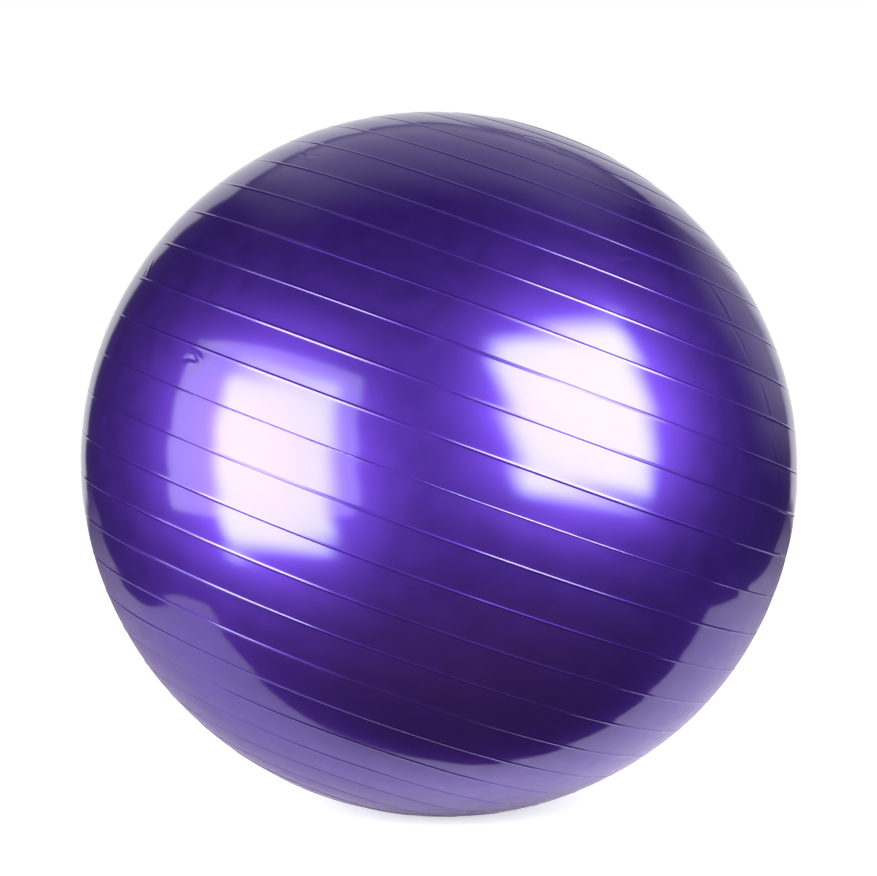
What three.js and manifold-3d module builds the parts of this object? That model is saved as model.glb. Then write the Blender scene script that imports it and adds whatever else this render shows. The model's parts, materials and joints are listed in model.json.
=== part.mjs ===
// A ribbed exercise ball, 65 cm across, at rest on the floor with its valve pole leaning to one side.
// Millimetres, +Z up. The floor is at z = 0 and the origin is on it, under the middle of the ball.
// Three pieces: the moulded skin, the valve seat that its pole is closed around, and the plug.
import * as THREE from 'three';
import { mergeVertices } from 'three/addons/utils/BufferGeometryUtils.js';
import Module from 'manifold-3d';

const wasm = await Module();
wasm.setup();

// Driving dimensions of the ball
const BALL_DIAMETER = 650; // across the mould seam, over the skin
const POLE_TO_WAIST = 0.978; // an inflated ball is a little shorter from pole to pole
const WALL = 0.8;
const LEAN_DEG = 20; // of the valve pole, from upright towards +X
const FLOOR_PRESS = 1.6; // how far the ball's own weight flattens it on the floor

// Ribs: rings that run around the poles, evenly spaced as seen from the ball's centre
const RIB_PITCH_DEG = 6.52;
const RIBS_EACH_SIDE = 12;
const RIB_HEIGHT = 0.8;
const RIB_WIDTH = 3.2;
const RIB_CREST = 0.4; // the flat on a rib's top, as a part of its width
const SEAM_HEIGHT = 0.35; // the mould's parting line, in the place of the middle rib
const SEAM_WIDTH = 2;
const SEAM_SAG_DEG = 1.28; // the skin around the waist hangs this much towards the lower pole

// Valve, by distance from the pole along the axis and by radius from the axis
const RECESS_RADIUS = 15;
const RECESS_DEPTH = 2;
const RECESS_SLOPE = 2;
const VALVE_WALL = 1.6; // the skin is twice as thick where it grips the seat
const SKIN_HOLE_RADIUS = 9;
const GAP = 0.3; // between pieces that touch
const FACE_DEPTH = 0.2; // lip and plug head are flush, just under the pole
const LIP_RADIUS = 14;
const FLANGE_RADIUS = 13;
const FLANGE_THICK = 1.5;
const SEAT_LENGTH = 18;
const SEAT_TIP_RADIUS = 6.9;
const SEAT_TUBE_RADIUS = 8;
const HEAD_POCKET_RADIUS = 8;
const HEAD_POCKET_DEPTH = 1.5;
const PLUG_HEAD_RADIUS = HEAD_POCKET_RADIUS - GAP;
const PLUG_STEM_RADIUS = 4.6;
const PLUG_BARB_RADIUS = 5;
const BORE_RADIUS = PLUG_BARB_RADIUS + GAP;
const PLUG_LENGTH = 19.5;
const PLUG_TIP_RADIUS = 3.4;
const BARB_DEPTHS = [5.5, 9.5]; // from the head's face to the widest place of each barb
const CHAMFER = 0.4;

// Facets
const BALL_FACETS = 48;
const VALVE_FACETS = 32;

const waist = BALL_DIAMETER / 2;
const pole = waist * POLE_TO_WAIST;
const lean = THREE.MathUtils.degToRad(LEAN_DEG);
const lowest = Math.hypot(waist * Math.sin(lean), pole * Math.cos(lean));

// The ball's own frame: its centre at the origin and its valve pole along +Z
const ball = new THREE.Group();
ball.position.z = lowest - FLOOR_PRESS;
ball.rotation.y = lean;
ball.updateMatrixWorld(true);

function v2(radius, height) {
  return new THREE.Vector2(radius, height);
}

// A solid of revolution about Z from a profile of (radius, height) points that runs upwards.
function turned(profile, facets) {
  return new THREE.LatheGeometry(profile, facets).rotateX(Math.PI / 2);
}

function toSolid(geometry) {
  const bare = geometry.clone();
  bare.deleteAttribute('normal');
  bare.deleteAttribute('uv');
  const merged = mergeVertices(bare, 1e-4);
  return new wasm.Manifold(new wasm.Mesh({
    numProp: 3,
    vertProperties: merged.getAttribute('position').array,
    triVerts: new Uint32Array(merged.index.array),
  }));
}

function toGeometry(solid) {
  const { vertProperties, triVerts } = solid.getMesh();
  const geometry = new THREE.BufferGeometry();
  geometry.setAttribute('position', new THREE.BufferAttribute(vertProperties, 3));
  geometry.setIndex(new THREE.BufferAttribute(triVerts, 1));
  geometry.computeVertexNormals();
  return geometry;
}

// A point of the ball's outline, by its angle above the waist as seen from the centre.
function outlinePoint(angle, raised = 0) {
  const bare = waist * pole / Math.hypot(pole * Math.cos(angle), waist * Math.sin(angle));
  return v2((bare + raised) * Math.cos(angle), (bare + raised) * Math.sin(angle));
}

// The angle at which the radius from the axis is this small, near a pole.
function angleAtRadius(radius) {
  return Math.acos(radius / pole);
}

// The middle of ring number k: 0 is the mould seam, and rings count up towards the valve.
function ringAngle(k) {
  const even = THREE.MathUtils.degToRad(RIB_PITCH_DEG * k);
  return even - THREE.MathUtils.degToRad(SEAM_SAG_DEG) * Math.cos(even) ** 2;
}

function ringProfile(k) {
  const middle = ringAngle(k);
  const width = k === 0 ? SEAM_WIDTH : RIB_WIDTH;
  const height = k === 0 ? SEAM_HEIGHT : RIB_HEIGHT;
  const half = width / 2 / waist;
  const crest = half * RIB_CREST;
  return [
    outlinePoint(middle - half),
    outlinePoint(middle - crest, height),
    outlinePoint(middle + crest, height),
    outlinePoint(middle + half),
  ];
}

// Outside of the skin: every ring in turn, then the round recess that the valve seat lies in.
function outerProfile() {
  const points = [v2(0, -pole)];
  for (let k = -RIBS_EACH_SIDE; k <= RIBS_EACH_SIDE; k += 1) {
    points.push(...ringProfile(k));
  }
  const floor = pole - RECESS_DEPTH;
  points.push(outlinePoint(angleAtRadius(RECESS_RADIUS + RECESS_SLOPE)));
  points.push(v2(RECESS_RADIUS, floor), v2(0, floor));
  return points;
}

// Inside of the skin: smooth, a wall's thickness in, and thicker around the valve.
function innerProfile() {
  const points = [v2(0, WALL - pole)];
  for (let k = -RIBS_EACH_SIDE; k <= RIBS_EACH_SIDE; k += 1) {
    points.push(outlinePoint(ringAngle(k), -WALL));
  }
  points.push(outlinePoint(angleAtRadius(RECESS_RADIUS + 5 * RECESS_SLOPE), -WALL));
  const ceiling = pole - RECESS_DEPTH - VALVE_WALL;
  points.push(v2(RECESS_RADIUS + RECESS_SLOPE, ceiling), v2(0, ceiling));
  return points;
}

// All that lies below a level over the floor, as seen from the tilted ball.
function floorBlock(level) {
  const size = 2 * BALL_DIAMETER;
  const block = new THREE.BoxGeometry(size, size, size).translate(0, 0, level - size / 2);
  return toSolid(block.applyMatrix4(ball.matrixWorld.clone().invert()));
}

function valveHole() {
  const drill = new THREE.CylinderGeometry(SKIN_HOLE_RADIUS, SKIN_HOLE_RADIUS, WALL * 20, VALVE_FACETS);
  return toSolid(drill.rotateX(Math.PI / 2).translate(0, 0, pole - RECESS_DEPTH));
}

// One hollow moulding, pressed flat where it stands, with a hole at the leaning pole.
function skinGeometry() {
  const outside = toSolid(turned(outerProfile(), BALL_FACETS)).subtract(floorBlock(0));
  const inside = toSolid(turned(innerProfile(), BALL_FACETS)).subtract(floorBlock(WALL));
  return toGeometry(outside.subtract(inside).subtract(valveHole()));
}

// A grommet that holds the skin's edge between its lip and its flange, with a tube for the plug.
function seatGeometry() {
  const face = pole - FACE_DEPTH;
  const lipUnder = pole - RECESS_DEPTH + GAP;
  const flangeTop = pole - RECESS_DEPTH - VALVE_WALL - GAP;
  const tip = face - SEAT_LENGTH;
  const neck = SKIN_HOLE_RADIUS - GAP;
  const profile = [
    v2(BORE_RADIUS, tip),
    v2(SEAT_TIP_RADIUS, tip),
    v2(SEAT_TUBE_RADIUS, flangeTop - FLANGE_THICK),
    v2(FLANGE_RADIUS, flangeTop - FLANGE_THICK),
    v2(FLANGE_RADIUS, flangeTop),
    v2(neck, flangeTop),
    v2(neck, lipUnder),
    v2(LIP_RADIUS, lipUnder),
    v2(LIP_RADIUS, face - CHAMFER),
    v2(LIP_RADIUS - CHAMFER, face),
    v2(HEAD_POCKET_RADIUS, face),
    v2(HEAD_POCKET_RADIUS, face - HEAD_POCKET_DEPTH),
    v2(BORE_RADIUS, face - HEAD_POCKET_DEPTH),
    v2(BORE_RADIUS, tip),
  ];
  return turned(profile, VALVE_FACETS);
}

// Each barb rises slowly from the tip's side and drops back steeply on the head's side.
function barbProfile(widest) {
  return [
    v2(PLUG_STEM_RADIUS, widest - 2.4),
    v2(PLUG_BARB_RADIUS, widest),
    v2(PLUG_BARB_RADIUS, widest + 0.5),
    v2(PLUG_STEM_RADIUS, widest + 0.8),
  ];
}

// A flat head that lies flush in the seat, and a barbed stem with a tapered tip.
function plugGeometry() {
  const face = pole - FACE_DEPTH;
  const headUnder = face - HEAD_POCKET_DEPTH + GAP;
  const tip = face - PLUG_LENGTH;
  const barbs = BARB_DEPTHS.map((depth) => face - depth).reverse();
  const profile = [
    v2(0, tip),
    v2(PLUG_TIP_RADIUS, tip),
    v2(PLUG_STEM_RADIUS, tip + 3.5),
    ...barbs.flatMap(barbProfile),
    v2(PLUG_STEM_RADIUS, headUnder),
    v2(PLUG_HEAD_RADIUS, headUnder),
    v2(PLUG_HEAD_RADIUS, face - CHAMFER),
    v2(PLUG_HEAD_RADIUS - CHAMFER, face),
    v2(0, face),
  ];
  return turned(profile, VALVE_FACETS);
}

function violetVinyl() {
  return new THREE.MeshStandardMaterial({ color: 0x4b2896, roughness: 0.25, metalness: 0.3 });
}

function whiteVinyl() {
  return new THREE.MeshStandardMaterial({ color: 0xe9e7e2, roughness: 0.45, metalness: 0 });
}

function addPiece(name, geometry, material) {
  const piece = new THREE.Mesh(geometry, material);
  piece.name = name;
  ball.add(piece);
}

addPiece('ball_skin', skinGeometry(), violetVinyl());
addPiece('valve_seat', seatGeometry(), violetVinyl());
addPiece('valve_plug', plugGeometry(), whiteVinyl());

const group = new THREE.Group();
group.add(ball);

export default group;
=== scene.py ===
import json
from math import acos, atan2, cos, exp, hypot, pi, radians, sin

import bpy
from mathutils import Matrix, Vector, noise


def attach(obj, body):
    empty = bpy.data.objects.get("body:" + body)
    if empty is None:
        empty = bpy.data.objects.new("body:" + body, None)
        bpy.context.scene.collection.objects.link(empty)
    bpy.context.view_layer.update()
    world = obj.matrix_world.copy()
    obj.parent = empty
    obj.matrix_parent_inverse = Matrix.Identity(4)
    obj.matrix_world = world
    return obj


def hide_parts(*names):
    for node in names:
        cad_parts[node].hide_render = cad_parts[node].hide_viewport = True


bl_info = {
    "name": "Exercise Ball Maker",
    "version": (1, 0, 0),
    "blender": (4, 5, 0),
    "location": "3D View > Sidebar > Exercise Ball",
    "description": "Makes a ribbed exercise ball with its valve, and a small studio around it",
    "category": "Add Mesh",
}

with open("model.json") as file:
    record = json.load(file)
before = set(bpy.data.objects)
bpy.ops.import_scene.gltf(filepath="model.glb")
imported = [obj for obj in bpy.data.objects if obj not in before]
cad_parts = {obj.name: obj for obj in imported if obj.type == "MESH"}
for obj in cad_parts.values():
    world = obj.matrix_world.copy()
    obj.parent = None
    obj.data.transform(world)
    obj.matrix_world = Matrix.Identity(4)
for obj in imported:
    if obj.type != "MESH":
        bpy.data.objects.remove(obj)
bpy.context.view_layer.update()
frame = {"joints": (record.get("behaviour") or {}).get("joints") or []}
POLE_AXIS = Vector(frame["joints"][0]["axis"]).normalized()

MM = 0.001


# ---------------------------------------------------------------- settings

class BallSettings(bpy.types.PropertyGroup):
    """Sizes of the inflated skin."""

    diameter: bpy.props.FloatProperty(
        name="Diameter", description="Across the mould seam, over the skin",
        default=0.65, min=0.45, max=0.85, unit="LENGTH")
    roundness: bpy.props.FloatProperty(
        name="Pole to pole", description="Height between the poles as a part of the diameter",
        default=0.978, subtype="FACTOR")
    floor_press: bpy.props.FloatProperty(
        name="Floor press", description="How far the ball's weight flattens it on the floor",
        default=1.6 * MM, unit="LENGTH")
    wall: bpy.props.FloatProperty(
        name="Wall", description="Thickness of the skin", default=0.8 * MM, unit="LENGTH")
    rib_pitch: bpy.props.FloatProperty(
        name="Rib pitch", description="Angle from rib to rib, seen from the centre",
        default=radians(6.52), subtype="ANGLE")
    ribs_each_side: bpy.props.IntProperty(
        name="Ribs each side", description="Ribs between the seam and each pole", default=12)
    rib_height: bpy.props.FloatProperty(
        name="Rib height", description="How far a rib stands proud", default=0.4 * MM,
        unit="LENGTH")
    rib_width: bpy.props.FloatProperty(
        name="Rib width", description="Width of a rib at its foot", default=2.8 * MM,
        unit="LENGTH")
    seam_height: bpy.props.FloatProperty(
        name="Seam height", description="How far the mould seam stands proud",
        default=0.3 * MM, unit="LENGTH")
    seam_width: bpy.props.FloatProperty(
        name="Seam width", description="Width of the mould seam", default=1.5 * MM,
        unit="LENGTH")
    seam_sag: bpy.props.FloatProperty(
        name="Seam sag", description="How far the skin at the waist hangs to the lower pole",
        default=radians(1.28), subtype="ANGLE")
    bulge: bpy.props.FloatProperty(
        name="Bulge", description="How far the thin skin swells between two ribs",
        default=0.2 * MM, unit="LENGTH")
    turns: bpy.props.IntProperty(
        name="Spin steps", description="Steps around the pole axis", default=208)


class ValveSettings(bpy.types.PropertyGroup):
    """Sizes of the valve seat and its plug."""

    recess_radius: bpy.props.FloatProperty(
        name="Recess radius", description="Floor of the hollow that the seat lies in",
        default=15 * MM, unit="LENGTH")
    recess_depth: bpy.props.FloatProperty(
        name="Recess depth", description="Depth of the hollow below the pole",
        default=2 * MM, unit="LENGTH")
    lip_radius: bpy.props.FloatProperty(
        name="Lip radius", description="Outer radius of the seat's lip",
        default=14 * MM, unit="LENGTH")
    bore_radius: bpy.props.FloatProperty(
        name="Bore radius", description="Bore that the plug pushes into",
        default=5.3 * MM, unit="LENGTH")
    head_radius: bpy.props.FloatProperty(
        name="Head radius", description="Radius of the plug's head",
        default=7.7 * MM, unit="LENGTH")
    turns: bpy.props.IntProperty(
        name="Spin steps", description="Steps around the pole axis", default=96)


class FinishSettings(bpy.types.PropertyGroup):
    """Colours of the vinyl."""

    pearl: bpy.props.FloatVectorProperty(
        name="Pearl violet", description="Colour of the ball's pearl vinyl",
        default=(0.056, 0.0172, 0.222), subtype="COLOR")
    pearl_deep: bpy.props.FloatVectorProperty(
        name="Deep violet", description="The same vinyl where its pearl is thinner",
        default=(0.047, 0.0142, 0.194), subtype="COLOR")
    stopper: bpy.props.FloatVectorProperty(
        name="Stopper white", description="Colour of the plug",
        default=(0.80, 0.79, 0.75), subtype="COLOR")


class StudioSettings(bpy.types.PropertyGroup):
    """Camera and lights."""

    distance: bpy.props.FloatProperty(
        name="Camera distance", description="From the ball's centre", default=2.1125,
        unit="LENGTH")
    height_angle: bpy.props.FloatProperty(
        name="Camera elevation", description="Above the ball's centre", default=radians(2.0),
        subtype="ANGLE")
    lens: bpy.props.FloatProperty(
        name="Lens", description="Focal length on a 36 mm sensor", default=94.65)
    key: bpy.props.FloatProperty(
        name="Key brightness", description="Radiance of the two softboxes", default=14.5)


# ---------------------------------------------------------------- the ball's shape

def settings():
    return bpy.context.scene.exercise_ball_sizes


def ball_radius():
    return settings().diameter / 2


def pole_radius():
    return ball_radius() * settings().roundness


def ball_centre():
    """The lowest point of the leaning ball is pressed into the floor by its weight."""
    lean = acos(POLE_AXIS.z)
    lowest = hypot(ball_radius() * sin(lean), pole_radius() * cos(lean))
    return Vector((0, 0, lowest - settings().floor_press))


def outline_point(angle, raised=0.0):
    """(radius from the axis, height over the waist) of the bare ball, by angle over the waist."""
    bare = (ball_radius() * pole_radius()
            / hypot(pole_radius() * cos(angle), ball_radius() * sin(angle)))
    return (bare + raised) * cos(angle), (bare + raised) * sin(angle)


def ring_angle(number):
    """The middle of a ring: 0 is the mould seam, and rings count up towards the valve."""
    even = settings().rib_pitch * number
    return even - settings().seam_sag * cos(even) ** 2


def swell_profile(part):
    """0 at both ends of a strip and 1 in its middle."""
    return 4 * part * (1 - part)


def angle_at_radius(radius):
    return acos(radius / pole_radius())


def across_axis():
    """A direction square to the pole axis, in the plane that it leans in."""
    return Vector((POLE_AXIS.z, 0, -POLE_AXIS.x)).normalized()


def in_place(radius, height):
    return ball_centre() + across_axis() * radius + POLE_AXIS * height


def ball_angles(point):
    """(angle over the waist, angle around the pole axis, distance from the centre)."""
    away = point - ball_centre()
    height = away.dot(POLE_AXIS)
    flat = away - POLE_AXIS * height
    side = POLE_AXIS.cross(across_axis())
    return atan2(height, flat.length), atan2(flat.dot(side), flat.dot(across_axis())), away.length


# ---------------------------------------------------------------- modelling helpers

def deselect_everything():
    if bpy.context.object and bpy.context.object.mode != "OBJECT":
        bpy.ops.object.mode_set(mode="OBJECT")
    bpy.ops.object.select_all(action="DESELECT")


def draw_outline(name, points):
    """A wire outline, drawn point by point in the plane that the pole leans in."""
    deselect_everything()
    bpy.ops.mesh.primitive_plane_add(size=MM, location=(0, 0, 0))
    piece = bpy.context.object
    piece.name = name
    piece.data.name = name
    bpy.ops.object.mode_set(mode="EDIT")
    bpy.ops.mesh.select_all(action="SELECT")
    bpy.ops.mesh.merge(type="CENTER")
    last = Vector((0, 0, 0))
    for number, (radius, height) in enumerate(points):
        place = in_place(radius, height)
        if number == 0:
            bpy.ops.transform.translate(value=place - last)
        else:
            bpy.ops.mesh.extrude_region_move(TRANSFORM_OT_translate={"value": place - last})
        last = place
    return piece


def spin_about_pole(piece, turns):
    """Spins the outline right round the pole axis and closes it up."""
    bpy.ops.mesh.select_all(action="SELECT")
    bpy.ops.mesh.spin(steps=turns, angle=2 * pi, center=ball_centre(), axis=POLE_AXIS)
    bpy.ops.mesh.select_all(action="SELECT")
    bpy.ops.mesh.remove_doubles(threshold=0.01 * MM)
    bpy.ops.mesh.normals_make_consistent(inside=False)
    bpy.ops.object.mode_set(mode="OBJECT")
    return piece


def apply_modifier(piece, kind, **values):
    modifier = piece.modifiers.new(kind.title(), kind)
    for key, value in values.items():
        setattr(modifier, key, value)
    bpy.context.view_layer.objects.active = piece
    bpy.ops.object.modifier_apply(modifier=modifier.name)


def finish_piece(piece, body, node, material, smooth_angle=None):
    deselect_everything()
    piece.select_set(True)
    bpy.context.view_layer.objects.active = piece
    if smooth_angle is None:
        bpy.ops.object.shade_smooth()
    else:
        bpy.ops.object.shade_smooth_by_angle(angle=smooth_angle)
    piece.data.materials.clear()
    piece.data.materials.append(material)
    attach(piece, body)
    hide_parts(node)


# ---------------------------------------------------------------- skin

RIB_STEPS = 3       # points from a rib's crest to its foot
FOOT_MARGIN = 1.35  # a point just past the foot keeps the rib's roundness to itself
SPAN_STEPS = 6      # stretches of skin between two ribs
LOWER_CAP_STEPS = 7
UPPER_CAP_STEPS = 5

# Around the valve
HOLE_RADIUS = 9 * MM   # hole in the skin that the seat's neck passes through
GRIP_WALL = 1.6 * MM   # the skin is twice as thick where the seat grips it
RECESS_SLOPE = 2 * MM  # width of the slope down into the recess
CAP_MARGIN = 3 * MM    # the even part of the cap ends this far from the recess
THICK_REACH = 10 * MM  # the thick wall has thinned out this far from the recess's floor
RIM_START = 1.2 * MM   # the rim's rounding begins this far out
RIM_ROUNDING = ((0.3, 0.05), (-0.5, 0.45))             # mm outwards and mm down from the rim
FOOT_ROUNDING = ((0.6, 0.35), (0, 0.08), (-0.6, 0))    # mm outwards and mm up from the foot


def rib_points(number):
    """A rounded ridge: a cosine hump with soft feet."""
    s = settings()
    width = s.seam_width if number == 0 else s.rib_width
    height = s.seam_height if number == 0 else s.rib_height
    middle = ring_angle(number)
    half = width / 2 / ball_radius()
    points = [outline_point(middle - FOOT_MARGIN * half)]
    for step in range(-RIB_STEPS, RIB_STEPS + 1):
        part = step / RIB_STEPS
        raised = height * (0.5 + 0.5 * cos(pi * part))
        points.append(outline_point(middle + part * half, raised))
    points.append(outline_point(middle + FOOT_MARGIN * half))
    return points


def span_points(number):
    """The thin skin between a rib and the next one swells a little."""
    s = settings()
    foot = FOOT_MARGIN * s.rib_width / 2 / ball_radius()
    start, end = ring_angle(number) + foot, ring_angle(number + 1) - foot
    points = []
    for step in range(1, SPAN_STEPS):
        part = step / SPAN_STEPS
        raised = s.bulge * swell_profile(part)
        points.append(outline_point(start + (end - start) * part, raised))
    return points


def cap_points(start, end, steps):
    return [outline_point(start + (end - start) * step / steps) for step in range(1, steps)]


def skin_outline():
    """Outside from the lower pole up to the valve's recess, then back down the inside."""
    s, v = settings(), bpy.context.scene.exercise_ball_valve
    count = s.ribs_each_side
    first = ring_angle(-count) - s.rib_width / 2 / ball_radius()
    last = ring_angle(count) + s.rib_width / 2 / ball_radius()
    recess_edge = v.recess_radius + RECESS_SLOPE
    recess_floor = pole_radius() - v.recess_depth
    ceiling = recess_floor - GRIP_WALL

    points = [(0, -pole_radius())] + cap_points(-pi / 2, first, LOWER_CAP_STEPS)
    for number in range(-count, count + 1):
        points += rib_points(number)
        if number < count:
            points += span_points(number)
    points += cap_points(last, angle_at_radius(recess_edge + CAP_MARGIN), UPPER_CAP_STEPS)
    edge_radius, edge_height = outline_point(angle_at_radius(recess_edge))
    points.append(outline_point(angle_at_radius(edge_radius + RIM_START)))
    for out, down in RIM_ROUNDING:
        points.append((edge_radius + out * MM, edge_height - down * MM))
    for out, up in FOOT_ROUNDING:
        points.append((v.recess_radius + out * MM, recess_floor + up * MM))
    points += [(HOLE_RADIUS, recess_floor), (HOLE_RADIUS, ceiling),
               (v.recess_radius + RECESS_SLOPE, ceiling)]
    points.append(outline_point(angle_at_radius(v.recess_radius + THICK_REACH), -s.wall))
    for number in range(count, -count - 1, -1):
        points.append(outline_point(ring_angle(number), -s.wall))
    points.append((0, s.wall - pole_radius()))
    return points


SEAM_CUTS = 7       # cuts along each stretch of the seam, for its beads
SEAM_REACH = 1.2    # the beads reach this far from the seam's middle, in half widths
LEVEL_SLOPE = 0.05  # an edge that climbs less than this runs around the pole axis
OUTER_SHARE = 0.3   # of the wall's thickness: what lies closer to the surface is outside


def select_vertices(piece, test):
    """Selects the vertices that pass a test of (place)."""
    if piece.mode != "OBJECT":
        bpy.ops.object.mode_set(mode="OBJECT")
    for polygon in piece.data.polygons:
        polygon.select = False
    for edge in piece.data.edges:
        edge.select = False
    for vertex in piece.data.vertices:
        vertex.select = test(vertex.co)
    bpy.ops.object.mode_set(mode="EDIT")
    bpy.ops.mesh.select_mode(type="VERT")


def is_outside(point):
    """Whether a point of the skin lies on its outside. The valve's recess doesn't."""
    angle, _, distance = ball_angles(point)
    radius, height = outline_point(angle)
    return distance > hypot(radius, height) - OUTER_SHARE * settings().wall


def press_on_floor(piece):
    """The skin that would lie below the floor is pressed flat against it."""
    wall = settings().wall
    select_vertices(piece, lambda p: p.z < 0 and is_outside(p))
    bpy.ops.transform.resize(value=(1, 1, 0), center_override=(0, 0, 0))
    select_vertices(piece, lambda p: p.z < wall and not is_outside(p))
    bpy.ops.transform.resize(value=(1, 1, 0), center_override=(0, 0, wall))
    bpy.ops.object.mode_set(mode="OBJECT")


def refine_seam(piece):
    """Cuts the seam's faces finer along their length, so that it can be beaded."""
    s = settings()
    seam = ring_angle(0)
    reach = SEAM_REACH * s.seam_width / 2 / ball_radius()
    near = [abs(ball_angles(v.co)[0] - seam) < reach and is_outside(v.co)
            for v in piece.data.vertices]
    select_vertices(piece, lambda p: False)
    bpy.ops.mesh.select_mode(type="EDGE")
    bpy.ops.object.mode_set(mode="OBJECT")
    for edge in piece.data.edges:
        one, two = edge.vertices
        along = piece.data.vertices[one].co - piece.data.vertices[two].co
        runs_round = abs(along.dot(POLE_AXIS)) < LEVEL_SLOPE * along.length
        edge.select = near[one] and near[two] and runs_round
    bpy.ops.object.mode_set(mode="EDIT")
    bpy.ops.mesh.subdivide(number_cuts=SEAM_CUTS)
    bpy.ops.object.mode_set(mode="OBJECT")


SWELL_HEIGHT = 0.3 * MM
SWELL_SCALE = 3    # how quickly the swelling changes along a strip
STRIP_STEP = 4.7   # sets each strip's swelling apart from the next one's


def strip_swell(angle, around):
    """Each strip between two ribs is blown a little more or less, from place to place."""
    s = settings()
    number = round((angle + s.seam_sag) / s.rib_pitch - 0.5)
    start, end = ring_angle(number), ring_angle(number + 1)
    part = min(1.0, max(0.0, (angle - start) / (end - start)))
    ring = Vector((SWELL_SCALE * cos(around), SWELL_SCALE * sin(around), STRIP_STEP * number))
    return SWELL_HEIGHT * noise.noise(ring) * swell_profile(part)


# Slow, middling and fine waves: waves per metre, height in millimetres, and a place in the noise
WAVES = ((5.0, 0.8, (3.1, 0.4, 7.7)), (13.0, 0.42, (9.2, 5.5, 1.3)), (38.0, 0.05, (1.2, 8.5, 4.1)))
WAVE_END = 1.35    # angle over the waist, in radians, where the waves have died out
WAVE_FADE = 0.15   # radians over which they do


def skin_waves(place):
    """How far the blown skin strays from its true form, slowly from place to place."""
    height = sum(size * noise.noise(place * scale + Vector(start)) for scale, size, start in WAVES)
    return height * MM


# The seam's roughness: beads and patches per radian, and heights in millimetres
BEADS, BEAD_HEIGHT = 150, 0.3
PATCHES, PATCH_HEIGHT = 14, 0.22
KNOT_AROUND, KNOT_HEIGHT, KNOT_REACH = radians(-31.6), 0.5, 4 * MM


def seam_beads(angle, around):
    """The mould's parting line is rough, with small beads and one knot of flash."""
    s = settings()
    off = abs(angle - ring_angle(0)) * ball_radius()
    reach = SEAM_REACH * s.seam_width / 2
    if off > reach:
        return 0.0
    rough = noise.noise(Vector((BEADS * around, 2.0, 5.0)))
    patchy = noise.noise(Vector((PATCHES * around, 6.0, 1.0)))
    knot = max(0.0, 1 - abs(around - KNOT_AROUND) * ball_radius() / KNOT_REACH)
    height = BEAD_HEIGHT * rough + PATCH_HEIGHT * patchy + KNOT_HEIGHT * knot
    return height * MM * (1 - off / reach)


# Folds that packing left in the skin: angle over the waist, angle around the pole, turn from
# the ribs' direction (all in degrees), length and depth in millimetres.
PACKING_FOLDS = (
    (4.0, -132.0, 28, 38, 0.22), (3.2, -133.5, -12, 30, -0.18),
    (42.5, -148.0, 24, 60, 0.24), (41.5, -144.0, -10, 44, -0.2),
    (66.5, -95.0, 16, 52, 0.24), (68.0, -99.0, -22, 36, -0.2),
    (55.3, -63.0, 12, 30, 0.2), (42.7, -69.5, -30, 30, 0.2),
    (42.0, -43.0, 62, 52, 0.24), (36.0, -40.0, 58, 46, -0.2),
    (27.0, -32.0, 66, 60, 0.24), (19.0, -29.0, 60, 44, 0.2),
    (-18.0, -47.5, 14, 36, 0.18), (14.0, -160.0, 50, 40, 0.22),
    (24.0, 60.0, 30, 55, 0.22), (-12.0, 110.0, -35, 48, 0.2),
    (38.0, 150.0, 20, 50, 0.22), (52.0, 20.0, -28, 40, 0.2),
)
FOLD_WIDTH = 2.6 * MM
FOLD_STRENGTH = 1.4           # all the depths above are raised by this much
FOLD_BEND = 1.5 * MM          # how far a fold's ends bend off its line
FOLD_CUTS = 3                 # cuts across each face under a fold
CUT_MARGIN = 3 * MM           # faces are cut this far past a fold's ends
CUT_REACH = 7 * MM            # and this far to its sides
NEAR_SIDE = 10 * MM           # keeps the cuts off the far side of the ball
LEAST_CUT_AREA = 8 * MM * MM  # the ribs' own faces are narrow enough as they are
NEAR_FOLD = 12 * MM           # beyond this from its ends a fold has no effect
WIDEST_FOLD = 3               # nor beyond this to its sides, in fold widths


def fold_frame(fold):
    """A fold's middle, its direction along the skin and the direction across it."""
    over, around, turn = (radians(value) for value in fold[:3])
    radius, height = outline_point(over)
    side = POLE_AXIS.cross(across_axis())
    outwards = across_axis() * cos(around) + side * sin(around)
    middle = ball_centre() + outwards * radius + POLE_AXIS * height
    level = POLE_AXIS.cross(outwards)
    rising = level.cross(middle - ball_centre()).normalized()
    return middle, level * cos(turn) + rising * sin(turn), rising * cos(turn) - level * sin(turn)


def refine_folds(piece):
    """Cuts the faces under each fold finer, so that it has a clean crest, and gives its frame."""
    frames = [(fold_frame(fold), fold[3] * MM / 2) for fold in PACKING_FOLDS]

    def under_fold(polygon):
        if polygon.area < LEAST_CUT_AREA:
            return False
        for (middle, along, across), half in frames:
            away = polygon.center - middle
            close = abs(away.dot(along)) < half + CUT_MARGIN and abs(away.dot(across)) < CUT_REACH
            if close and away.length < 2 * half + NEAR_SIDE and is_outside(polygon.center):
                return True
        return False

    chosen = [under_fold(polygon) for polygon in piece.data.polygons]
    select_vertices(piece, lambda p: False)
    bpy.ops.mesh.select_mode(type="FACE")
    bpy.ops.object.mode_set(mode="OBJECT")
    for polygon, select in zip(piece.data.polygons, chosen):
        polygon.select = select
    bpy.ops.object.mode_set(mode="EDIT")
    bpy.ops.mesh.subdivide(number_cuts=FOLD_CUTS)
    bpy.ops.object.mode_set(mode="OBJECT")
    return frames


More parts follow.
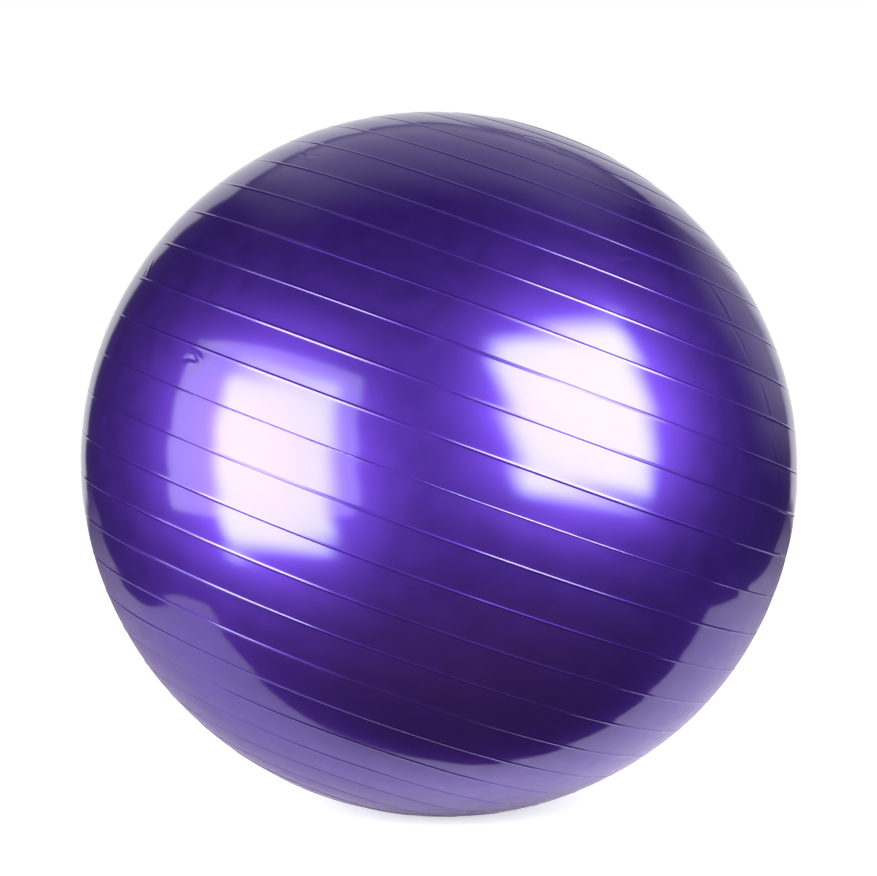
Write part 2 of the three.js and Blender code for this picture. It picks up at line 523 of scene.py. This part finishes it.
def fold_height(place, frames):
    """A sharp little ridge or groove, with a shallower one of the other kind beside it."""
    total = 0.0
    for ((middle, along, across), half), fold in zip(frames, PACKING_FOLDS):
        away = place - middle
        if away.length > half + NEAR_FOLD:
            continue
        part = away.dot(along) / half
        off = (away.dot(across) - FOLD_BEND * part * part) / FOLD_WIDTH
        if abs(part) >= 1 or abs(off) > WIDEST_FOLD:
            continue
        crest = exp(-2.0 * off * off) - 0.45 * exp(-0.8 * (off - 1.1) ** 2)
        total += FOLD_STRENGTH * fold[4] * MM * crest * (1 - part * part) ** 1.5
    return total


def sculpt_skin(piece):
    """Waves, swellings, folds and the beaded seam, pushed into the outside of the skin."""
    refine_seam(piece)
    frames = refine_folds(piece)
    for vertex in piece.data.vertices:
        place = vertex.co.copy()
        if not is_outside(place):
            continue
        angle, around, _ = ball_angles(place)
        outwards = (place - ball_centre()).normalized()
        fade = min(1.0, max(0.0, (WAVE_END - abs(angle)) / WAVE_FADE))
        move = (skin_waves(place) + strip_swell(angle, around)) * fade
        move += seam_beads(angle, around) + fold_height(place, frames)
        vertex.co = place + outwards * move


class EXBALL_OT_skin(bpy.types.Operator):
    """Spins the ribbed skin about the leaning pole and presses it on the floor"""

    bl_idname = "exercise_ball.skin"
    bl_label = "Ribbed skin"

    def execute(self, context):
        piece = draw_outline("ribbed_skin", skin_outline())
        spin_about_pole(piece, settings().turns)
        if not piece.data.polygons:
            raise RuntimeError("the skin's outline did not spin")
        sculpt_skin(piece)
        press_on_floor(piece)
        finish_piece(piece, "ball", "ball_skin", pearl_vinyl())
        return {"FINISHED"}


# ---------------------------------------------------------------- valve

GAP = 0.3 * MM            # between pieces that touch
FACE_DEPTH = 0.2 * MM     # the lip and the plug's head are flush, just under the pole
CORNER = 0.4 * MM         # chamfer of the lip and of the head
POCKET_DEPTH = 1.5 * MM   # the plug's head lies in the seat's pocket
SEAT_LENGTH = 18 * MM
SEAT_TIP_RADIUS = 6.9 * MM
SEAT_TUBE_RADIUS = 8 * MM
FLANGE_RADIUS = 13 * MM
FLANGE_THICK = 1.5 * MM
LIP_GROOVE = ((12.2, 0), (11.9, 0.35), (11.1, 0.35), (10.8, 0))  # radius and depth in mm

PLUG_LENGTH = 19.5 * MM
HEAD_THICK = 1.2 * MM
STEM_RADIUS = 4.6 * MM
BARB_RADIUS = 5 * MM
BARB_DEPTHS = (9.5 * MM, 5.5 * MM)  # from the face to the widest place of each barb
BARB_RISE = 2.4 * MM                # slow on the tip's side
BARB_FLAT = 0.5 * MM
BARB_DROP = 0.8 * MM                # from the widest place back to the stem, steep
PLUG_TIP = ((0, 0), (2.6, 0), (3.4, 0.4))                            # radius and height in mm
TIP_TAPER = 3.5 * MM
HEAD_DISH = ((6.1, 0), (5.8, 0.3), (1.6, 0.3), (1.2, 0.5), (0, 0.5))  # radius and depth in mm

SEAT_ROUNDING = 0.22 * MM
PLUG_ROUNDING = 0.18 * MM
SHARP_CORNER = radians(25)  # corners sharper than this are rounded
SMOOTH_ANGLE = radians(35)


def valve_face():
    return pole_radius() - FACE_DEPTH


def round_corners(piece, width):
    apply_modifier(piece, "BEVEL", width=width, segments=2, limit_method="ANGLE",
                   angle_limit=SHARP_CORNER)


def seat_outline():
    """Closed on itself: up the outside of the tube, round flange and lip, and down the bore."""
    v = bpy.context.scene.exercise_ball_valve
    face = valve_face()
    tip = face - SEAT_LENGTH
    lip_under = pole_radius() - v.recess_depth + GAP
    flange_top = pole_radius() - v.recess_depth - GRIP_WALL - GAP
    flange_under = flange_top - FLANGE_THICK
    neck = HOLE_RADIUS - GAP
    pocket = v.head_radius + GAP
    points = [
        (v.bore_radius, tip), (SEAT_TIP_RADIUS, tip),
        (SEAT_TUBE_RADIUS, flange_under), (FLANGE_RADIUS, flange_under),
        (FLANGE_RADIUS, flange_top), (neck, flange_top),
        (neck, lip_under), (v.lip_radius, lip_under),
        (v.lip_radius, face - CORNER), (v.lip_radius - CORNER, face),
    ]
    points += [(radius * MM, face - depth * MM) for radius, depth in LIP_GROOVE]
    points += [
        (pocket, face), (pocket, face - POCKET_DEPTH),
        (v.bore_radius, face - POCKET_DEPTH), (v.bore_radius, tip),
    ]
    return points


def plug_outline():
    """From the middle of the tip up the barbed stem and over the head to its middle."""
    v = bpy.context.scene.exercise_ball_valve
    face = valve_face()
    tip = face - PLUG_LENGTH
    points = [(radius * MM, tip + height * MM) for radius, height in PLUG_TIP]
    points.append((STEM_RADIUS, tip + TIP_TAPER))
    for depth in BARB_DEPTHS:
        widest = face - depth
        points += [(STEM_RADIUS, widest - BARB_RISE), (BARB_RADIUS, widest),
                   (BARB_RADIUS, widest + BARB_FLAT), (STEM_RADIUS, widest + BARB_DROP)]
    points += [
        (STEM_RADIUS, face - HEAD_THICK), (v.head_radius, face - HEAD_THICK),
        (v.head_radius, face - CORNER), (v.head_radius - CORNER, face),
    ]
    points += [(radius * MM, face - depth * MM) for radius, depth in HEAD_DISH]
    return points


class EXBALL_OT_seat(bpy.types.Operator):
    """Turns the grommet that the skin's edge is gripped by"""

    bl_idname = "exercise_ball.seat"
    bl_label = "Valve seat"

    def execute(self, context):
        turns = context.scene.exercise_ball_valve.turns
        piece = spin_about_pole(draw_outline("moulded_seat", seat_outline()), turns)
        round_corners(piece, SEAT_ROUNDING)
        finish_piece(piece, "ball", "valve_seat", soft_vinyl(), SMOOTH_ANGLE)
        return {"FINISHED"}


class EXBALL_OT_plug(bpy.types.Operator):
    """Turns the stopper, with its flush head and barbed stem"""

    bl_idname = "exercise_ball.plug"
    bl_label = "Valve plug"

    def execute(self, context):
        turns = context.scene.exercise_ball_valve.turns
        piece = spin_about_pole(draw_outline("barbed_plug", plug_outline()), turns)
        round_corners(piece, PLUG_ROUNDING)
        finish_piece(piece, "plug", "valve_plug", stopper_vinyl(), SMOOTH_ANGLE)
        light_plug(piece)
        return {"FINISHED"}


# ---------------------------------------------------------------- finishes

class Nodes:
    """The node tree of a material or a world, with short calls to add and join nodes."""

    def __init__(self, owner, empty=False):
        owner.use_nodes = True
        self.owner = owner
        self.tree = owner.node_tree
        if empty:
            self.tree.nodes.clear()

    def add(self, kind, **values):
        """Adds a node. A value is for the input of that name, or else for the node itself."""
        node = self.tree.nodes.new(kind)
        for key, value in values.items():
            if key in node.inputs:
                node.inputs[key].default_value = value
            else:
                setattr(node, key, value)
        return node

    def join(self, output, socket):
        self.tree.links.new(output, socket)

    def object_noise(self, scale, detail):
        place = self.add("ShaderNodeTexCoord")
        speckle = self.add("ShaderNodeTexNoise", Scale=scale, Detail=detail, Roughness=0.55)
        self.join(place.outputs["Object"], speckle.inputs["Vector"])
        return speckle.outputs["Fac"]

    def ramp(self, value, stops):
        ramp = self.add("ShaderNodeValToRGB")
        elements = ramp.color_ramp.elements
        while len(elements) < len(stops):
            elements.new(0.5)
        for element, (position, colour) in zip(elements, stops):
            element.position = position
            element.color = (*colour, 1)
        self.join(value, ramp.inputs["Fac"])
        return ramp.outputs["Color"]

    def stretch(self, value, start, end, low, high, easing="LINEAR"):
        """Stretches the range from start to end over low to high."""
        stretch = self.add("ShaderNodeMapRange", interpolation_type=easing)
        for name, number in (("From Min", start), ("From Max", end), ("To Min", low),
                             ("To Max", high)):
            stretch.inputs[name].default_value = number
        self.join(value, stretch.inputs["Value"])
        return stretch.outputs["Result"]

    def spread(self, value, low, high):
        """Stretches a noise's middle range over low to high."""
        return self.stretch(value, 0.3, 0.7, low, high)

    def math(self, operation, value, other=None):
        """Works on a value, with a second one that is a number or an output."""
        node = self.add("ShaderNodeMath", operation=operation)
        self.join(value, node.inputs[0])
        if isinstance(other, bpy.types.NodeSocket):
            self.join(other, node.inputs[1])
        elif other is not None:
            node.inputs[1].default_value = other
        return node.outputs[0]

    def mix(self, share, one, two):
        """One shader where the share is 0 and the other where it is 1."""
        node = self.add("ShaderNodeMixShader")
        self.join(share, node.inputs["Fac"])
        self.join(one.outputs[0], node.inputs[1])
        self.join(two.outputs[0], node.inputs[2])
        return node

    def put_out(self, kind, shader):
        self.join(shader.outputs[0], self.add(kind).inputs["Surface"])

    def bump(self, value, distance, strength, below=None):
        bump = self.add("ShaderNodeBump", Strength=strength, Distance=distance)
        self.join(value, bump.inputs["Height"])
        if below is not None:
            self.join(below, bump.inputs["Normal"])
        return bump.outputs["Normal"]


def vinyl(name):
    """A new material's nodes, and the inputs of its shader."""
    nodes = Nodes(bpy.data.materials.new(name))
    return nodes, nodes.tree.nodes["Principled BSDF"].inputs


def pearl_vinyl():
    """Violet pearl vinyl: a metallic body under a clear, glossy surface."""
    f = bpy.context.scene.exercise_ball_finish
    n, shader = vinyl("pearl_violet_vinyl")
    cloud = n.object_noise(6.0, 4.0)
    n.join(n.ramp(cloud, [(0.3, f.pearl_deep), (0.7, f.pearl)]), shader["Base Color"])
    shader["Metallic"].default_value = 0.95
    flake = n.object_noise(55.0, 3.0)
    n.join(n.spread(flake, 0.42, 0.47), shader["Roughness"])
    shader["Specular Tint"].default_value = (0.6, 0.5, 0.95, 1)
    shader["Coat Weight"].default_value = 1.0
    shader["Coat IOR"].default_value = 1.5
    shader["Coat Roughness"].default_value = 0.1
    grain = n.object_noise(420.0, 2.0)
    peel = n.object_noise(60.0, 3.0)
    pearl_bump = n.bump(grain, 0.02 * MM, 0.35)
    n.join(n.bump(peel, 0.05 * MM, 0.4, pearl_bump), shader["Normal"])
    n.join(n.bump(peel, 0.03 * MM, 0.3), shader["Coat Normal"])
    return n.owner


def soft_vinyl():
    """The seat's softer vinyl: the same violet, less glossy, a little darker with handling."""
    f = bpy.context.scene.exercise_ball_finish
    n, shader = vinyl("soft_violet_vinyl")
    cloud = n.object_noise(90.0, 3.0)
    dark = [0.7 * c for c in f.pearl_deep]
    n.join(n.ramp(cloud, [(0.3, dark), (0.75, f.pearl)]), shader["Base Color"])
    shader["Metallic"].default_value = 0.35
    n.join(n.spread(n.object_noise(400.0, 2.0), 0.34, 0.46), shader["Roughness"])
    n.join(n.bump(n.object_noise(900.0, 2.0), 0.03 * MM, 0.5), shader["Normal"])
    return n.owner


def stopper_vinyl():
    """White stopper vinyl with a faint yellowing and a fine moulded grain."""
    f = bpy.context.scene.exercise_ball_finish
    n, shader = vinyl("white_stopper_vinyl")
    aged = (f.stopper[0] * 0.97, f.stopper[1] * 0.95, f.stopper[2] * 0.88)
    n.join(n.ramp(n.object_noise(120.0, 4.0), [(0.35, aged), (0.65, f.stopper)]),
           shader["Base Color"])
    n.join(n.spread(n.object_noise(500.0, 2.0), 0.38, 0.5), shader["Roughness"])
    n.join(n.bump(n.object_noise(1100.0, 2.0), 0.02 * MM, 0.5), shader["Normal"])
    shader["Subsurface Weight"].default_value = 0.1
    shader["Subsurface Radius"].default_value = (0.002, 0.0015, 0.001)
    return n.owner


# ---------------------------------------------------------------- studio

def towards(azimuth, elevation):
    """A direction: azimuth 0 is towards the camera, and positive turns to the right."""
    a, e = radians(azimuth), radians(elevation)
    return Vector((sin(a) * cos(e), -cos(a) * cos(e), sin(e)))


def glow_material(name, radiance, edge, colour=(1, 1, 1), far_radiance=None):
    """Emission that falls off softly at the panel's edge, over the panel's own UV map."""
    n = Nodes(bpy.data.materials.new(name), empty=True)
    glow = n.add("ShaderNodeEmission", Color=(*colour, 1), Strength=radiance)
    clear = n.add("ShaderNodeBsdfTransparent")
    split = n.add("ShaderNodeSeparateXYZ")
    n.join(n.add("ShaderNodeTexCoord").outputs["UV"], split.inputs[0])
    fades = []
    for axis in ("X", "Y"):
        away = n.math("ABSOLUTE", n.math("SUBTRACT", split.outputs[axis], 0.5))
        fades.append(n.stretch(away, 0.5, 0.5 - edge, 0, 1, "SMOOTHSTEP"))
    if far_radiance is not None:
        n.join(n.stretch(split.outputs["Y"], 0, 1, radiance, far_radiance),
               glow.inputs["Strength"])
    n.put_out("ShaderNodeOutputMaterial", n.mix(n.math("MULTIPLY", *fades), clear, glow))
    return n.owner


def hide_from_camera(obj):
    obj.visible_camera = False
    obj.visible_shadow = False


def add_panel(name, centre, facing, width, height, material):
    """A flat panel that the camera doesn't see, square to the direction it faces."""
    deselect_everything()
    bpy.ops.mesh.primitive_plane_add(size=1, location=centre)
    panel = bpy.context.object
    panel.name = name
    panel.rotation_euler = facing.to_track_quat("Z", "Y").to_euler()
    panel.scale = (width, height, 1)
    panel.data.materials.append(material)
    hide_from_camera(panel)
    return panel


def add_softbox(name, azimuth, elevation, sideways, up, width, height, material, distance=1.6):
    """A panel that faces the ball from a direction, shifted square to that direction."""
    out = towards(azimuth, elevation)
    side = Vector((0, 0, 1)).cross(-out).normalized()
    rise = side.cross(-out)
    if rise.z < 0:
        rise = -rise
    centre = ball_centre() + out * distance + side * sideways + rise * up
    return add_panel(name, centre, -out, width, height, material)


SOFTBOX_WHITE = (0.84, 1.0, 0.9)
CARD_BROWN = (0.16, 0.095, 0.06)
ROOM_COLOUR = (0.022, 0.02, 0.026, 1)


FLOOR_COLOUR = (0.6, 0.52, 0.62, 1)
FLOOR_LIFT = (0.6, 1.0)    # brightness that the camera sees added, at the ball and far from it
LIFT_REACH = (0.05, 0.9)   # distances from the ball's foot between which it rises, in metres


def floor_material():
    """Pale floor. The far floor fades to white."""
    n = Nodes(bpy.data.materials.new("pale_floor"), empty=True)
    matt = n.add("ShaderNodeBsdfDiffuse", Color=FLOOR_COLOUR)
    lift = n.add("ShaderNodeEmission")
    away = n.add("ShaderNodeVectorMath", operation="LENGTH")
    n.join(n.add("ShaderNodeNewGeometry").outputs["Position"], away.inputs[0])
    fade = n.stretch(away.outputs["Value"], *LIFT_REACH, *FLOOR_LIFT)
    seen = n.add("ShaderNodeLightPath").outputs["Is Camera Ray"]
    n.join(n.math("MULTIPLY", seen, fade), lift.inputs["Strength"])
    both = n.add("ShaderNodeAddShader")
    n.join(matt.outputs[0], both.inputs[0])
    n.join(lift.outputs[0], both.inputs[1])
    n.put_out("ShaderNodeOutputMaterial", both)
    return n.owner


def add_floor(material):
    """A wide floor that the camera sees. The gloss sees the table top under it instead."""
    deselect_everything()
    bpy.ops.mesh.primitive_plane_add(size=24, location=(0, 0, 0))
    floor = bpy.context.object
    floor.name = "pale_floor"
    floor.data.materials.append(material)
    floor.visible_glossy = False
    floor.visible_shadow = False


TABLE_DEPTH = 1 * MM  # below the floor that the camera sees
TABLE_CORNERS = ((-0.52, -0.215), (0.0, -0.19), (0.42, -0.105), (0.6, -0.06), (0.7, 0.1),
                 (0.92, 0.57), (1.3, 1.3), (2.6, 4.0), (-3.2, 4.0), (-1.63, 1.47),
                 (-0.76, 0.38), (-0.63, 0.1), (-0.6, -0.12))


def add_table_top(material):
    """The pale table that the ball stands on, as its gloss shows it: narrow, and open behind."""
    deselect_everything()
    bpy.ops.mesh.primitive_circle_add(vertices=len(TABLE_CORNERS), fill_type="NGON")
    table = bpy.context.object
    table.name = "table_top"
    for vertex, (x, y) in zip(table.data.vertices, TABLE_CORNERS):
        vertex.co = (x, y, -TABLE_DEPTH)
    table.data.update()
    table.data.materials.append(material)
    hide_from_camera(table)


def light_world():
    """White behind everything for the camera, and a dim room for the gloss and the light."""
    world = bpy.data.worlds.new("studio_room")
    bpy.context.scene.world = world
    n = Nodes(world, empty=True)
    dim = n.add("ShaderNodeBackground", Color=ROOM_COLOUR, Strength=1.0)
    white = n.add("ShaderNodeBackground", Color=(1, 1, 1, 1), Strength=1.0)
    seen = n.add("ShaderNodeLightPath").outputs["Is Camera Ray"]
    n.put_out("ShaderNodeOutputWorld", n.mix(seen, dim, white))


AIM_UP = radians(0.636)    # the camera aims a little past the ball's centre
AIM_LEFT = radians(0.022)


def place_camera():
    """Stands the camera in front of the ball, at its distance and elevation."""
    studio = bpy.context.scene.exercise_ball_studio
    centre = ball_centre()
    out = Vector((0, -cos(studio.height_angle), sin(studio.height_angle)))
    camera_data = bpy.data.cameras.new("studio_camera")
    camera_data.lens = studio.lens
    camera_data.sensor_width = 36
    camera_data.clip_end = 100
    camera = bpy.data.objects.new("studio_camera", camera_data)
    bpy.context.scene.collection.objects.link(camera)
    camera.location = centre + out * studio.distance
    pitch = radians(90) - studio.height_angle + AIM_UP
    camera.rotation_euler = (pitch, 0, AIM_LEFT)
    bpy.context.scene.camera = camera


def light_plug(plug):
    """The white plug has a soft light of its own, because the bright softboxes burn it out."""
    for name, state, lights in (
            ("shaded_from_softboxes", "EXCLUDE", ("left_softbox", "right_softbox")),
            ("lit_by_plug_light", "INCLUDE", ("plug_light",))):
        group = bpy.data.collections.new(name)
        group.objects.link(plug)
        group.collection_objects[0].light_linking.link_state = state
        for light in lights:
            bpy.data.objects[light].light_linking.receiver_collection = group


class EXBALL_OT_studio(bpy.types.Operator):
    """Floor, two softboxes, pale cards overhead, behind and beside, and the camera"""

    bl_idname = "exercise_ball.studio"
    bl_label = "Studio"

    def execute(self, context):
        key = context.scene.exercise_ball_studio.key
        context.scene.view_settings.view_transform = "Standard"
        place_camera()
        light_world()
        pale = floor_material()
        add_floor(pale)
        add_table_top(pale)
        brown = glow_material("brown_glow", 1.0, edge=0.45, colour=CARD_BROWN)
        add_panel("brown_card", centre=Vector((0, -0.5, -0.12)), facing=Vector((0, 0, 1)),
                  width=2.0, height=0.9, material=brown)

        core = glow_material("softbox_core", key * 1.15, edge=0.17, colour=SOFTBOX_WHITE)
        add_softbox("left_softbox", azimuth=-52, elevation=0, sideways=-0.12, up=0.04,
                    width=1.28, height=1.62, material=core)
        veil = glow_material("softbox_veil", 3.6, edge=0.04)
        add_softbox("left_softbox_veil", azimuth=-52, elevation=0, sideways=0.08, up=0.29,
                    width=2.05, height=1.37, material=veil, distance=1.62)
        core_right = glow_material("softbox_core_right", key * 1.25, edge=0.19,
                                   colour=SOFTBOX_WHITE)
        add_softbox("right_softbox", azimuth=46, elevation=18, sideways=0.14, up=-0.06,
                    width=1.5, height=1.66, material=core_right)
        plug_glow = glow_material("plug_glow", 4.0, edge=0.2)
        add_softbox("plug_light", azimuth=20, elevation=62, sideways=0, up=0,
                    width=1.0, height=1.0, material=plug_glow)

        backdrop = glow_material("backdrop_glow", 0.85, edge=0.05)
        add_panel("backdrop_card", centre=Vector((0.05, 2.4, 1.2)), facing=Vector((0, -1, 0)),
                  width=3.5, height=2.4, material=backdrop)
        side = glow_material("side_glow", 0.45, edge=0.4)
        add_softbox("right_side_card", azimuth=130, elevation=18, sideways=0, up=0,
                    width=2.0, height=1.8, material=side, distance=2.2)
        ceiling = glow_material("ceiling_glow", 0.4, edge=0.3, far_radiance=0.8)
        add_panel("ceiling_card", centre=Vector((0, 1.2, 2.4)), facing=Vector((0, 0, -1)),
                  width=3.6, height=2.9, material=ceiling)
        return {"FINISHED"}


# ---------------------------------------------------------------- panel and running

PIECE_OPERATORS = (EXBALL_OT_studio, EXBALL_OT_skin, EXBALL_OT_seat, EXBALL_OT_plug)


class EXBALL_PT_sidebar(bpy.types.Panel):
    """Lists the ball's pieces and the studio"""

    bl_label = "Exercise Ball"
    bl_idname = "EXBALL_PT_sidebar"
    bl_space_type = "VIEW_3D"
    bl_region_type = "UI"
    bl_category = "Exercise Ball"

    def draw(self, context):
        for operator in PIECE_OPERATORS:
            self.layout.operator(operator.bl_idname)
        for group in (context.scene.exercise_ball_sizes, context.scene.exercise_ball_valve,
                      context.scene.exercise_ball_finish, context.scene.exercise_ball_studio):
            box = self.layout.box()
            for key in group.bl_rna.properties.keys():
                if key not in ("rna_type", "name"):
                    box.prop(group, key)


SETTING_GROUPS = {
    "exercise_ball_sizes": BallSettings,
    "exercise_ball_valve": ValveSettings,
    "exercise_ball_finish": FinishSettings,
    "exercise_ball_studio": StudioSettings,
}


def register():
    for group in SETTING_GROUPS.values():
        bpy.utils.register_class(group)
    for name, group in SETTING_GROUPS.items():
        setattr(bpy.types.Scene, name, bpy.props.PointerProperty(type=group))
    for operator in PIECE_OPERATORS:
        bpy.utils.register_class(operator)
    bpy.utils.register_class(EXBALL_PT_sidebar)


def unregister():
    bpy.utils.unregister_class(EXBALL_PT_sidebar)
    for operator in reversed(PIECE_OPERATORS):
        bpy.utils.unregister_class(operator)
    for name, group in SETTING_GROUPS.items():
        delattr(bpy.types.Scene, name)
        bpy.utils.unregister_class(group)


def main():
    register()
    bpy.ops.exercise_ball.studio()
    bpy.ops.exercise_ball.skin()
    bpy.ops.exercise_ball.seat()
    bpy.ops.exercise_ball.plug()


if __name__ == "__main__":
    main()
